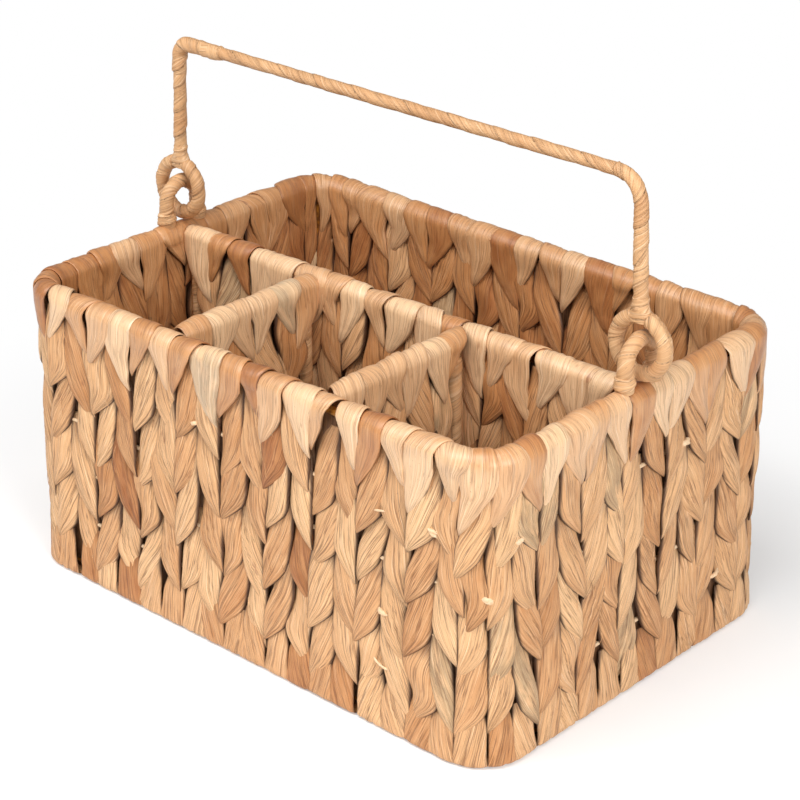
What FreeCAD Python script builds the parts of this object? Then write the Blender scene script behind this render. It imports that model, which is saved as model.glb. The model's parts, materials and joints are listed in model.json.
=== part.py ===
"""Woven cutlery caddy: four open compartments on a welded wire frame, under a wire bail that swings.

Twined columns of dried strand stand on the frame, in front of and behind level cords, and lap over
the rim. Millimetres, +Z up, front (three compartments) towards -Y, origin on the table below the middle.
"""
import FreeCAD, Part
import math
import os

Vector = FreeCAD.Vector

# Basket
basket_length = 300.0
basket_width = 210.0
basket_height = 150.0  # from the table to the top of the rim
corner_radius = 25.0  # outside, in plan
wall_thickness = 13.5  # over the crests of the columns
rim_lap_diameter = 15.0  # strands lapped over the rim wire
base_thickness = 12.0
column_width = 14.0  # one twined pair of strands
groove_depth = 1.6  # between two columns
fit_gap = 0.3  # between pieces that lie against each other

# Dividers: one long one, and short ones that part the front half into bays
front_bays = 3
divider_thickness = 13.0
divider_lap_diameter = 14.0
post_wrap_diameter = 8.0  # strip wound round each divider post
divider_bend_radius = 5.0  # where a divider's top wire turns down into a post

# Frame wire, base rods and level cords
frame_wire_diameter = 4.0
divider_wire_diameter = 3.5
base_rod_diameter = 3.0
cord_diameter = 2.0
cord_pitch = 26.0  # between two levels of cord
cord_offset = 2.2  # outwards from the middle of the wall
post_offset = 2.2  # corner posts, inwards from the middle of the wall

# Bail
bail_wire_diameter = 4.0
bar_length = 278.0  # corner to corner
bar_rise = 88.0  # bar above the pivot
left_bend_radius = 7.0
right_bend_radius = 13.0
ring_radius = 13.0  # wire centre, of the ring at the foot of each leg
neck_radius = 6.0  # small turn from the leg into its ring
bar_wrap_diameter = 6.2
leg_wrap_diameter = 7.2
ring_wrap_diameter = 7.6
wrap_gap = 0.2  # between a wire and the strip wound round it

# Eyes on the end walls, through which the bail's rings are linked
eye_wire_diameter = 4.0
eye_spread = 20.0  # between an eye's legs
eye_rise = 20.0  # top of the wire arch above the rim
eye_wrap_diameter = 7.6

# Facets of round pieces: flats round a bar, and the turn from one flat to the next along a bend
wire_sides = 8
cord_sides = 6
wrap_sides = 12
lap_sides = 12
facet_turn = math.radians(30)
flatness = 1e-6

# Outline of one column: shares of its width, each with its share of the groove's depth
column_shares = ((0, 0), (0.27, 1), (0.73, 1))

# Places that follow from the sizes
lap_radius = rim_lap_diameter / 2
wall_x = basket_length / 2 - lap_radius  # middle of the end walls
wall_y = basket_width / 2 - lap_radius  # middle of the long walls
wall_corner = corner_radius - lap_radius
rim_axis = basket_height - lap_radius
inner_x = wall_x - wall_thickness / 2
inner_y = wall_y - wall_thickness / 2
straight_x = wall_x - wall_corner  # where the straight walls end and the corners begin
straight_y = wall_y - wall_corner
base_axis = base_thickness / 2
spine_axis = base_axis - (base_rod_diameter + fit_gap) / 2
cross_axis = base_axis + (base_rod_diameter + fit_gap) / 2
wire_seat = frame_wire_diameter / 2 + fit_gap  # from the centre of the frame wire to what meets it
divider_axis = basket_height - divider_lap_diameter / 2
bay_pitch = (2 * inner_x + divider_thickness) / front_bays
short_divider_x = [bay_pitch * (i - front_bays / 2) for i in range(1, front_bays)]
pivot_height = basket_height + fit_gap + ring_wrap_diameter / 2  # the rings rest on the rim
cord_count = int((rim_axis - lap_radius - base_axis) / cord_pitch)
cord_heights = [base_axis + cord_pitch * (level + 1) for level in range(cord_count)]

x_axis = Vector(1, 0, 0)
y_axis = Vector(0, 1, 0)
z_axis = Vector(0, 0, 1)
nodes = {}


def edge(points):
    """A straight run through two points, or an arc through three."""
    if len(points) == 2:
        return Part.LineSegment(*points).toShape()
    return Part.Arc(*points).toShape()


def polygon(points):
    """Flat face with straight edges."""
    return Part.Face(Part.makePolygon(list(points) + [points[0]]))


def stations(runs):
    """Points and directions along runs that meet end to end, a facet's turn apart round an arc."""
    places = []
    for run in runs:
        curve = edge(run)
        low, high = curve.FirstParameter, curve.LastParameter
        turn = 2 * curve.tangentAt(low).getAngle(curve.tangentAt((low + high) / 2))
        steps = max(1, round(turn / facet_turn))
        first = 1 if places else 0
        for step in range(first, steps + 1):
            at = low + (high - low) * step / steps
            places.append((curve.valueAt(at), curve.tangentAt(at)))
    return places


def bend_plane(places):
    """Normal of the plane that a bent bar lies in, or a direction across a straight one."""
    first = places[0][1]
    for _, along in places:
        normal = first.cross(along)
        if normal.Length > flatness:
            return normal.normalize()
    return z_axis if abs(first.z) < flatness else x_axis


def tube(runs, diameter, sides=wire_sides):
    """Round bar along straight runs and arcs in one plane, as flat facets."""
    places = stations(runs)
    closed = places[0][0].distanceToPoint(places[-1][0]) < flatness
    if closed:
        places.pop()
    normal = bend_plane(places)
    angles = [2 * math.pi * side / sides for side in range(sides)]
    rings = []
    for point, along in places:
        spokes = [along.cross(normal) * math.cos(angle) + normal * math.sin(angle) for angle in angles]
        rings.append([point + spoke * (diameter / 2) for spoke in spokes])
    pairs = zip(rings, rings[1:] + rings[:1] if closed else rings[1:])
    faces = [
        polygon((one[k - 1], one[k], two[k], two[k - 1])) for one, two in pairs for k in range(sides)
    ]
    if not closed:
        faces += [polygon(rings[0]), polygon(rings[-1])]
    shell = Part.makeShell(faces)
    shell.sewShape()
    bar = Part.makeSolid(shell)
    return bar if bar.Volume > 0 else bar.reversed()


def sleeve(runs, diameter, bore, sides):
    """Hollow bar along runs and arcs."""
    return tube(runs, diameter, sides).cut(tube(runs, bore))


def clearance(runs, diameter, sides=wire_sides):
    """The room that a bar needs in what it passes through."""
    return tube(runs, diameter + 2 * fit_gap, sides)


def straight_run(start, end, outward):
    """Places on a straight panel, by share of its length and offset outwards."""
    return lambda share, offset: start + (end - start) * share + outward * offset


def corner_run(side_x, side_y):
    """Places on a rounded corner, by share of its quarter turn and offset outwards."""
    def place(share, offset):
        angle = math.radians(90) * share
        radius = wall_corner + offset
        x = straight_x + radius * math.cos(angle)
        y = straight_y + radius * math.sin(angle)
        return Vector(side_x * x, side_y * y, 0)
    return place


def corners():
    """Name and sides of each corner."""
    return [
        (f"{depth}_{side}", side_x, side_y)
        for depth, side_y in (("front", -1), ("back", 1)) for side, side_x in (("left", -1), ("right", 1))
    ]


def loop(offset, height):
    """Runs of a level loop round the basket, at an offset outwards from the middle of the walls."""
    arcs = []
    for side_x, side_y in ((1, 1), (-1, 1), (-1, -1), (1, -1)):
        place = corner_run(side_x, side_y)
        arc = tuple(place(share, offset) + z_axis * height for share in (0, 0.5, 1))
        arcs.append(arc if side_x == side_y else arc[::-1])
    return [run for one, two in zip(arcs, arcs[1:] + arcs[:1]) for run in (one, (one[-1], two[0]))]


def column_outline(place, columns, groove, crest):
    """One face of a woven panel, as points from groove to crest over each column."""
    points = [
        place((i + width) / columns, groove + (crest - groove) * depth)
        for i in range(columns) for width, depth in column_shares
    ]
    return points + [place(1, groove)]


def woven_panel(place, length, thickness, bottom, top):
    """Upright panel of twined columns, ribbed on both faces."""
    columns = max(2, round(length / column_width))
    crest = thickness / 2
    groove = crest - groove_depth
    outside = column_outline(place, columns, groove, crest)
    inside = column_outline(place, columns, -groove, -crest)
    face = polygon(outside + inside[::-1])
    face.translate(z_axis * bottom)
    return face.extrude(z_axis * (top - bottom))


def spine_runs(seat):
    """Rod under the long divider, up to a seat short of the base loop's centre at each end."""
    reach = wall_x - seat
    return [(Vector(-reach, 0, spine_axis), Vector(reach, 0, spine_axis))]


def cross_runs(x, seat):
    """Rod under a short divider, lying on the spine, up to a seat short of the base loop's centre."""
    reach = wall_y - seat
    return [(Vector(x, -reach, cross_axis), Vector(x, reach, cross_axis))]


def corner_post_runs(side_x, side_y, seat):
    """Upright post in a corner, up to a seat short of the centres of the base loop and the rim wire."""
    foot = corner_run(side_x, side_y)(0.5, -post_offset)
    return [(foot + z_axis * (base_axis + seat), foot + z_axis * (rim_axis - seat))]


def rod_rooms():
    """The room that the base rods need in the walls and the floor."""
    runs = [spine_runs(0)] + [cross_runs(x, 0) for x in short_divider_x]
    return [clearance(run, base_rod_diameter) for run in runs]


def make_frame():
    """Welded wire: rim, base loop, corner posts, and the rods that carry the base and the dividers."""
    nodes["rim_wire"] = tube(loop(0, rim_axis), frame_wire_diameter)
    nodes["base_wire"] = tube(loop(0, base_axis), frame_wire_diameter)
    nodes["base_spine_rod"] = tube(spine_runs(wire_seat), base_rod_diameter)
    for number, x in enumerate(short_divider_x, 1):
        nodes[f"base_cross_rod_{number}"] = tube(cross_runs(x, wire_seat), base_rod_diameter)
    for name, side_x, side_y in corners():
        post = corner_post_runs(side_x, side_y, wire_seat)
        nodes[f"corner_post_{name}"] = tube(post, frame_wire_diameter)


def make_cords():
    """Level cords that the columns are twined round."""
    for level, height in enumerate(cord_heights, 1):
        nodes[f"wall_cord_{level}"] = tube(loop(cord_offset, height), cord_diameter, cord_sides)


def eye_runs(side, foot):
    """Arch of the eye on an end wall, with legs down to a foot height."""
    x = side * wall_x
    half = eye_spread / 2
    spring = basket_height + eye_rise - half
    low = [Vector(x, y, foot) for y in (-half, half)]
    high = [Vector(x, y, spring) for y in (-half, half)]
    return [(low[0], high[0]), (high[0], Vector(x, 0, spring + half), high[1]), (high[1], low[1])]


def make_eyes():
    """Wire eyes welded on the rim wire at the middle of the end walls, wound with strip above the rim."""
    bore = eye_wire_diameter + 2 * wrap_gap
    for name, side in (("left", -1), ("right", 1)):
        above_rim = eye_runs(side, basket_height + fit_gap)
        nodes[f"{name}_eye_wire"] = tube(eye_runs(side, rim_axis + wire_seat), eye_wire_diameter)
        nodes[f"{name}_eye_wrap"] = sleeve(above_rim, eye_wrap_diameter, bore, wrap_sides)


def make_walls():
    """Woven panels of the four walls and their corners, each with its strands lapped over the rim wire."""
    through = [clearance(loop(cord_offset, height), cord_diameter, cord_sides) for height in cord_heights]
    through.append(clearance(loop(0, base_axis), frame_wire_diameter))
    rods = rod_rooms()
    bore = frame_wire_diameter + 2 * fit_gap
    walls = (
        ("front", Vector(straight_x - fit_gap, -wall_y, 0), -y_axis),
        ("back", Vector(straight_x - fit_gap, wall_y, 0), y_axis),
        ("left", Vector(-wall_x, straight_y - fit_gap, 0), -x_axis),
        ("right", Vector(wall_x, straight_y - fit_gap, 0), x_axis),
    )
    for name, end, outward in walls:
        middle = outward * end.dot(outward)
        start = middle * 2 - end
        place = straight_run(start, end, outward)
        top_run = [(start + z_axis * rim_axis, end + z_axis * rim_axis)]
        panel = woven_panel(place, start.distanceToPoint(end), wall_thickness, 0, rim_axis)
        under_lap = clearance(top_run, rim_lap_diameter, lap_sides)
        nodes[f"{name}_weave"] = panel.cut(through + rods + [under_lap])
        nodes[f"{name}_rim_lap"] = sleeve(top_run, rim_lap_diameter, bore, lap_sides)
    for side, name in ((-1, "left"), (1, "right")):
        legs = clearance(eye_runs(side, rim_axis), eye_wire_diameter)
        nodes[f"{name}_rim_lap"] = nodes[f"{name}_rim_lap"].cut(legs)
    for name, side_x, side_y in corners():
        place = corner_run(side_x, side_y)
        top_run = [tuple(place(share, 0) + z_axis * rim_axis for share in (0, 0.5, 1))]
        length = (wall_corner + wall_thickness / 2) * math.radians(90)
        post = clearance(corner_post_runs(side_x, side_y, 0), frame_wire_diameter)
        panel = woven_panel(place, length, wall_thickness, 0, rim_axis)
        under_lap = clearance(top_run, rim_lap_diameter, lap_sides)
        nodes[f"corner_weave_{name}"] = panel.cut(through + [under_lap, post])
        nodes[f"corner_rim_lap_{name}"] = sleeve(top_run, rim_lap_diameter, bore, lap_sides).cut(post)


def divider_runs(start, end, foot):
    """A divider's wire: up one post, along its top and down the other."""
    along = (end - start).normalize()
    bend = divider_bend_radius
    slant = bend * (1 - math.sqrt(0.5))
    first = start + z_axis * divider_axis
    last = end + z_axis * divider_axis
    return [
        (start + z_axis * foot, first - z_axis * bend),
        (first - z_axis * bend, first + (along - z_axis) * slant, first + along * bend),
        (first + along * bend, last - along * bend),
        (last - along * bend, last - (along + z_axis) * slant, last - z_axis * bend),
        (last - z_axis * bend, end + z_axis * foot),
    ]


def make_divider(name, start, end, outward, rod_axis, lap_ends):
    """A divider between two walls: wire on its rod, wound posts, woven panel on its cords, and lapped top.

    Returns the room that its wire needs in the base.
    """
    along = (end - start).normalize()
    to_post = along * (fit_gap + post_wrap_diameter / 2)
    to_panel = along * (2 * fit_gap + post_wrap_diameter)
    posts = (start + to_post, end - to_post)
    panel_start, panel_end = start + to_panel, end - to_panel
    foot = rod_axis + base_rod_diameter / 2 + fit_gap
    wire_room = clearance(divider_runs(*posts, rod_axis), divider_wire_diameter)
    lap_run = [tuple(point + z_axis * divider_axis for point in lap_ends)]
    floor = base_thickness + fit_gap
    under_lap = divider_axis - divider_lap_diameter / 2 - fit_gap
    bore = divider_wire_diameter + 2 * wrap_gap
    nodes[f"{name}_wire"] = tube(divider_runs(*posts, foot), divider_wire_diameter)
    nodes[f"{name}_lap"] = tube(lap_run, divider_lap_diameter, lap_sides).cut(wire_room)
    for number, post in enumerate(posts, 1):
        wound = [(post + z_axis * floor, post + z_axis * under_lap)]
        nodes[f"{name}_post_wrap_{number}"] = sleeve(wound, post_wrap_diameter, bore, wrap_sides)
    place = straight_run(panel_start, panel_end, outward)
    length = panel_start.distanceToPoint(panel_end)
    panel = woven_panel(place, length, divider_thickness, floor, divider_axis)
    cords = [[(panel_start + z_axis * height, panel_end + z_axis * height)] for height in cord_heights]
    rooms = [clearance(cord, cord_diameter, cord_sides) for cord in cords]
    rooms.append(clearance(lap_run, divider_lap_diameter, lap_sides))
    nodes[f"{name}_weave"] = panel.cut(rooms)
    nodes[f"{name}_cords"] = Part.makeCompound([tube(cord, cord_diameter, cord_sides) for cord in cords])
    return wire_room


def make_dividers():
    """The long divider from end to end, and the short ones from the front wall to it."""
    lap_reach = wall_x - lap_radius - fit_gap
    rooms = [make_divider(
        "long_divider", Vector(-inner_x, 0, 0), Vector(inner_x, 0, 0), y_axis, spine_axis,
        (Vector(-lap_reach, 0, 0), Vector(lap_reach, 0, 0)),
    )]
    lap_front = wall_y - lap_radius - fit_gap
    lap_back = divider_lap_diameter / 2 + fit_gap
    for number, x in enumerate(short_divider_x, 1):
        rooms.append(make_divider(
            f"short_divider_{number}", Vector(x, -inner_y, 0), Vector(x, -divider_thickness / 2, 0), x_axis,
            cross_axis, (Vector(x, -lap_front, 0), Vector(x, -lap_back, 0)),
        ))
    return rooms


def make_base(divider_rooms):
    """Woven floor inside the walls, flat below and ribbed above, with room for the rods and posts."""
    half_x = inner_x - fit_gap
    half_y = inner_y - fit_gap
    left = Vector(-half_x, -half_y, 0)
    right = Vector(half_x, -half_y, 0)
    columns = round(2 * half_x / column_width)
    place = straight_run(left, right, z_axis)
    ribs = column_outline(place, columns, base_thickness - groove_depth, base_thickness)
    slab = polygon([left] + ribs + [right]).extrude(y_axis * (2 * half_y))
    inside = [point for point, _ in stations(loop(-wall_thickness / 2 - fit_gap, 0))]
    plan = polygon(inside[:-1]).extrude(z_axis * base_thickness)
    nodes["base_weave"] = slab.common(plan).cut(rod_rooms() + divider_rooms)


def bail_side(side, bend):
    """Runs of one side of the bail, from the end of its ring up to the bar."""
    centre = Vector(side * wall_x, 0, pivot_height + ring_radius)
    corner = Vector(side * bar_length / 2, 0, pivot_height + bar_rise)
    up = (corner - centre).normalize()
    inward = Vector(-side * up.z, 0, side * up.x)

    def place(across, along):
        return centre + inward * across + up * along

    reach = ring_radius + neck_radius
    neck_height = math.sqrt(reach ** 2 - neck_radius ** 2)
    neck_angle = math.atan2(neck_height, neck_radius)
    neck_middle = math.pi + neck_angle / 2
    neck_across = neck_radius * (1 + math.cos(neck_middle))
    neck = place(neck_across, neck_height + neck_radius * math.sin(neck_middle))
    stand_off = neck_radius + (bail_wire_diameter + leg_wrap_diameter) / 2 + fit_gap
    opening = math.acos((ring_radius ** 2 + reach ** 2 - stand_off ** 2) / (2 * ring_radius * reach))
    ring_end = neck_angle + opening - 2 * math.pi
    angles = [ring_end + (neck_angle - ring_end) * share for share in (0, 0.25, 0.5, 0.75, 1)]
    ring = [place(ring_radius * math.cos(angle), ring_radius * math.sin(angle)) for angle in angles]

    along_bar = -x_axis * side
    tangent = bend * math.tan(up.getAngle(along_bar) / 2)
    leg_top = corner - up * tangent
    bend_centre = leg_top + inward * bend
    bend_middle = bend_centre + (corner - bend_centre).normalize() * bend
    leg_foot = place(0, neck_height)
    return [
        tuple(ring[:3]), tuple(ring[2:]), (ring[4], neck, leg_foot),
        (leg_foot, leg_top), (leg_top, bend_middle, corner + along_bar * tangent),
    ]


def make_bail():
    """One bent wire with a ring at each foot, and the strips wound round its bar, legs and rings."""
    left = bail_side(-1, left_bend_radius)
    right = bail_side(1, right_bend_radius)
    bar = (left[-1][-1], right[-1][-1])
    down_right = [run[::-1] for run in right[::-1]]
    bore = bail_wire_diameter + 2 * wrap_gap
    nodes["bail_wire"] = tube(left + [bar] + down_right, bail_wire_diameter)
    nodes["bail_bar_wrap"] = sleeve([bar], bar_wrap_diameter, bore, wrap_sides)
    for name, runs in (("left", left), ("right", right)):
        ring, leg = runs[:2], runs[2:]
        leg_room = clearance(leg, leg_wrap_diameter, wrap_sides)
        nodes[f"bail_leg_wrap_{name}"] = sleeve(leg, leg_wrap_diameter, bore, wrap_sides)
        nodes[f"bail_ring_wrap_{name}"] = sleeve(ring, ring_wrap_diameter, bore, wrap_sides).cut(leg_room)


make_frame()
make_cords()
make_eyes()
make_walls()
make_base(make_dividers())
make_bail()

os.makedirs("parts", exist_ok=True)
for name, shape in nodes.items():
    shape.exportStep(f"parts/{name}.step")
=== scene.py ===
"""Looks of a woven cutlery caddy: twined strands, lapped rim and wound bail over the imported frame."""
import json
import math
from collections import namedtuple

import bpy
import numpy as np
from bpy.props import FloatProperty, FloatVectorProperty, IntProperty, PointerProperty
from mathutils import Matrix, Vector


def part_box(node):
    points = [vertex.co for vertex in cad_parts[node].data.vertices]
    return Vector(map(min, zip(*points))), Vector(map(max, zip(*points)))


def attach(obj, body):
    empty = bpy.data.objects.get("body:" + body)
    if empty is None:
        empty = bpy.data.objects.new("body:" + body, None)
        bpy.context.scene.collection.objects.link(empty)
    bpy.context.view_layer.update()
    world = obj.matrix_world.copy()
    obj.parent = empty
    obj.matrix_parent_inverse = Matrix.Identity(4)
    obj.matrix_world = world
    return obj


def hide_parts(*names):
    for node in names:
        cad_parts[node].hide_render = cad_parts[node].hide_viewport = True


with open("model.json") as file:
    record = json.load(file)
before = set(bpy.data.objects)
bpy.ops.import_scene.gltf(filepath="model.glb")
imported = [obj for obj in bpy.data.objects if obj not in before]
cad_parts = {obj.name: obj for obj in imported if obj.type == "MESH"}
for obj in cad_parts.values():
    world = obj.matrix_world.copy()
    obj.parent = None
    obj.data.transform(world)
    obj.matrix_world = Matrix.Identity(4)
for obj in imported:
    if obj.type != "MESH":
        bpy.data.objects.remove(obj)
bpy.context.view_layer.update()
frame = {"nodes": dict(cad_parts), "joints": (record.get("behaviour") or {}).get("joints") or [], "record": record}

bl_info = {
    "name": "Woven Caddy Looks",
    "version": (1, 0, 0),
    "blender": (4, 5, 0),
    "location": "3D View > Sidebar > Caddy",
    "description": "Dresses the caddy's frame in twined, lapped and wound strand",
    "category": "Object",
}

MM = 0.001
TAU = 2 * math.pi
BASKET = "basket"
BAIL = "bail"
SIDES = ("front", "right", "back", "left")
CORNERS = ("front_right", "back_right", "back_left", "front_left")
DIVIDERS = ("long_divider", "short_divider_1", "short_divider_2")
# Wall parts whose rim strands take a paler tone as painted light, the rest a darker one as painted shade: the
# front, its right corner and the right end
PAINTED_LIT_RIM_PARTS = (0, 1, 2)

# Tones run from brown at 0 through tan to straw, and to olive at 1. A pair is for the outer and inner face; the
# walls' dark inner tone is painted shade inside the caddy
WALL_TONES = (0.455, 0.14)
# Rim tones: the lit parts take a paler outer tone as painted light, the others a darker one as painted shade
PAINTED_LIT_RIM_TONES = (0.52, 0.24)
SHADED_RIM_TONES = (0.22, 0.24)
DIVIDER_TONES = (0.42, 0.42)
DIVIDER_LAP_TONES = (0.46, 0.40)
FLOOR_TONE = 0.36
FOOT_TONE = 0.46
CORE_TONE = 0.25

# Course of a leaf from its tip to its hidden upper end: shares of its length, half width, swell and depth
LEAF_SHARES = (0.0, 0.033, 0.08, 0.155, 0.23, 0.33, 0.44, 0.52, 0.635, 0.77, 0.885, 1.0)
LEAF_WIDTH_SHARES = (0.05, 0.20, 0.40, 0.68, 0.90, 1.0, 1.0, 1.0, 0.98, 0.92, 0.82, 0.60)
LEAF_SWELL_SHARES = (0.12, 0.24, 0.40, 0.66, 0.90, 1.0, 1.0, 0.95, 0.85, 0.72, 0.55, 0.35)
LEAF_SINK_SHARES = (0.45, 0.22, 0.08, 0.0, 0.0, 0.03, 0.14, 0.28, 0.55, 0.87, 1.13, 1.40)

# Course of a lapped strand up one side: in from the wall's face and up from its tip, in millimetres
LAP_FLANK = ((2.6, 0), (1.7, 4), (1.9, 8), (2.3, 13))
# Swell of a lapped strand, in millimetres, by how far it has come from its nearer tip
LAP_SWELL = ((0, 0.3), (4, 1.0), (8, 1.65), (13, 2.1), (18, 1.9), (24, 1.3), (30, 0.9))
# Course of a foot strand round the base loop: in from the wall's face and up from the ground, in millimetres
FOOT_BEND = ((1.7, 9), (1.2, 4.5), (1.0, 2.4), (1.6, 1.45), (2.7, 1.3), (6, 1.3))

# Points along a strand, and round it: over its crest and under its belly
LEAF_STEPS, LEAF_SIDES = 24, (15, 7)
FLOOR_LEAF_STEPS, FLOOR_LEAF_SIDES = 15, (11, 5)
LAP_STEPS = 56
FOOT_STEPS = 44
CORE_SIDES = 8
WINDING_SIDES = 28

# Room left round the weave: at the foot of the walls, under the rim, and at the floor's edges and corners
FOOT_ROOM = 4 * MM
RIM_ROOM = 1.5 * MM
FLOOR_ROOM = 0.4 * MM
FLOOR_CORNER_ROOM = 5 * MM
# From the floor panel's face down to its leaves
FLOOR_LEAF_DEPTH = 0.9 * MM
# From the middle of the front wall to the nearest valley between its columns
FRONT_SHIFT = 2 * MM

# How each piece is wound: pitch of the turns, height of a strip's edge, plies that it is creased into, tone
WINDINGS = {
    "post": {"pitch": 11 * MM, "lip": 0.5 * MM, "plies": 3, "tone": 0.42},
    "ring": {"pitch": 9 * MM, "lip": 0.5 * MM, "plies": 3, "tone": 0.45},
    "leg": {"pitch": 13 * MM, "lip": 0.5 * MM, "plies": 4, "tone": 0.45},
    "neck": {"pitch": 6 * MM, "lip": 0.6 * MM, "plies": 1, "tone": 0.48},
    "bar": {"pitch": 27 * MM, "lip": 0.3 * MM, "plies": 1, "tone": 0.40, "spread": 0.04},
    "corner": {"pitch": 14 * MM, "lip": 0.6 * MM, "plies": 1, "tone": 0.52},
    "eye": {"pitch": 10 * MM, "lip": 0.5 * MM, "plies": 2, "tone": 0.48},
    "lashing": {"pitch": 4.2 * MM, "lip": 0.7 * MM, "plies": 1, "tone": 0.48},
}
BAIL_PLANE = (0.0, 1.0, 0.0)
EYE_PLANE = (1.0, 0.0, 0.0)

# Cord ends that show between leaves: wall, place from its middle, height, length and radius
CORD_ENDS = (
    ("front", 85 * MM, 107 * MM, 16 * MM, 0.5 * MM),
    ("front", 90 * MM, 56 * MM, 6 * MM, 1.2 * MM),
    ("front", 116 * MM, 99 * MM, 6 * MM, 1.3 * MM),
    ("front", 150 * MM, 90 * MM, 10 * MM, 1.9 * MM),
    ("front", 91 * MM, 30 * MM, 14 * MM, 0.5 * MM),
    ("front", 128 * MM, 117 * MM, 10 * MM, 0.8 * MM),
    ("front", -17 * MM, 110 * MM, 5 * MM, 0.9 * MM),
    ("right", 34 * MM, 119 * MM, 6 * MM, 1.4 * MM),
    ("right", 69 * MM, 36 * MM, 7 * MM, 0.9 * MM),
    ("right", -70 * MM, 122 * MM, 5 * MM, 1.2 * MM),
)

# Soft lamps: name, place, power in watts and size, and the place that they are turned to
LAMPS = (
    ("key", (-0.65, -1.0, 1.3), 9.5, 0.5),
    ("fill", (1.25, -0.5, 0.8), 12.3, 0.6),
    ("top", (0.15, -0.65, 1.5), 15.8, 0.9),
)
LAMP_AIM = (0.0, 0.0, 0.08)


# Places taken from the frame
def middle(node):
    """Centre of a frame node's box."""
    low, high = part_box(node)
    return (low + high) / 2


def span(node):
    """Size of a frame node's box."""
    low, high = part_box(node)
    return high - low


WALL_X = middle("right_rim_lap").x
RIM_Z = middle("front_rim_lap").z
LAP_RADIUS = span("front_rim_lap").z / 2
CORNER_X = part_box("corner_rim_lap_front_right")[0].x
CORNER_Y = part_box("corner_rim_lap_back_right")[0].y
CORNER_RADIUS = WALL_X - CORNER_X
WALL_HALF = span("front_weave").y / 2
FLOOR_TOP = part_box("base_weave")[1].z
PIVOT_Z = frame["joints"][0]["pos_m"][2]
BAR_Z = middle("bail_bar_wrap").z


# Settings a user would change
def length_setting(name, description, length):
    """A length in a group of settings."""
    return FloatProperty(name=name, description=description, default=length, unit="LENGTH")


def share_setting(name, description, share, most=1.0):
    """A share in a group of settings."""
    return FloatProperty(
        name=name, description=description, default=share, min=0.0, max=most, subtype="FACTOR")


def srgb(*display):
    """A display colour as scene-linear values."""
    return tuple(c / 12.92 if c <= 0.04045 else ((c + 0.055) / 1.055) ** 2.4 for c in display)


def colour_setting(name, description, *display):
    """A colour in a group of settings, from its display values."""
    return FloatVectorProperty(
        name=name, description=description, size=3, subtype="COLOR", default=srgb(*display))


class StrandSettings(bpy.types.PropertyGroup):
    """Sizes of the twined strand."""

    columns_long: IntProperty(
        name="Columns of a long wall", default=20, min=2,
        description="Twined columns between two corner columns, an even number")
    columns_short: IntProperty(
        name="Columns of an end wall", default=12, min=2,
        description="Twined columns between two corner columns, an even number")
    pair_width: length_setting("Pair width", "About the width of two columns of a straight panel", 28.6 * MM)
    row_pitch: length_setting("Row pitch", "From one leaf tip up to the next in a column", 26.8 * MM)
    first_tip: length_setting("First tip", "Height of the lowest leaf tips", 14.0 * MM)
    leaf_length: length_setting("Leaf length", "A leaf from its tip to its hidden upper end", 52 * MM)
    leaf_swell: length_setting("Leaf swell", "Height of a leaf's pillow over its edges", 3.0 * MM)
    core_depth: length_setting("Core depth", "From a panel's face to the plain core of a column", 5.0 * MM)
    fibre_slant: share_setting("Fibre slant", "How steeply the fibres cross a leaf", 0.26)
    unevenness: share_setting("Unevenness", "How much the leaves vary", 1.0, 2.0)
    fibre_count: IntProperty(
        name="Loose fibres", description="Fibres that stand off the walls", default=90, min=0)
    seed: IntProperty(name="Seed", description="Start of the random draws", default=11)


class BailSettings(bpy.types.PropertyGroup):
    """Sizes of the wound bail."""

    bar_length: length_setting("Bar length", "From one top corner of the bail to the other", 278 * MM)
    ring_radius: length_setting("Ring radius", "Radius of the wire ring at the foot of each leg", 13 * MM)
    ring_gap: length_setting("Ring gap", "From the neck to the end of the ring's wire", 6 * MM)
    neck_radius: length_setting("Neck radius", "Radius of the turn from a leg into its ring", 6 * MM)
    neck_binding: length_setting("Neck binding", "Radius of the strip bound round a neck", 3.75 * MM)
    left_bend: length_setting("Left bend", "Radius of the left top bend", 7 * MM)
    right_bend: length_setting("Right bend", "Radius of the right top bend", 13 * MM)


class ColourSettings(bpy.types.PropertyGroup):
    """Colours of the dried strand, the wire and the cord."""

    brown: colour_setting("Brown", "Weathered leaf", 0.66, 0.41, 0.225)
    tan: colour_setting("Tan", "Common leaf", 0.86, 0.648, 0.447)
    straw: colour_setting("Straw", "Pale leaf", 0.945, 0.762, 0.562)
    olive: colour_setting("Olive", "Greyish leaf", 0.76, 0.625, 0.465)
    rose: colour_setting("Rose", "Reddish leaf", 0.785, 0.545, 0.335)
    # Pale fibre colour, partly the strand's own colour and partly a painted highlight
    pale_fibre_and_sheen: colour_setting("Sheen", "Pale fibres", 0.985, 0.90, 0.775)
    fibre: colour_setting("Fibre", "Dark fibres", 0.46, 0.27, 0.15)
    rust: colour_setting("Rust", "Reddish blotches", 0.55, 0.29, 0.14)
    # Painted shade: dark colour for the edges, tips and hidden ends of strands where they tuck under one another
    painted_crevice_shade: colour_setting("Crevice", "Tucked edges", 0.19, 0.09, 0.045)
    lacquer: colour_setting("Lacquer", "Frame wire", 0.72, 0.47, 0.16)
    worn_lacquer: colour_setting("Worn lacquer", "Frame wire where it is worn", 0.42, 0.25, 0.10)
    cord: colour_setting("Cord", "Plant cord", 0.95, 0.88, 0.75)


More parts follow.
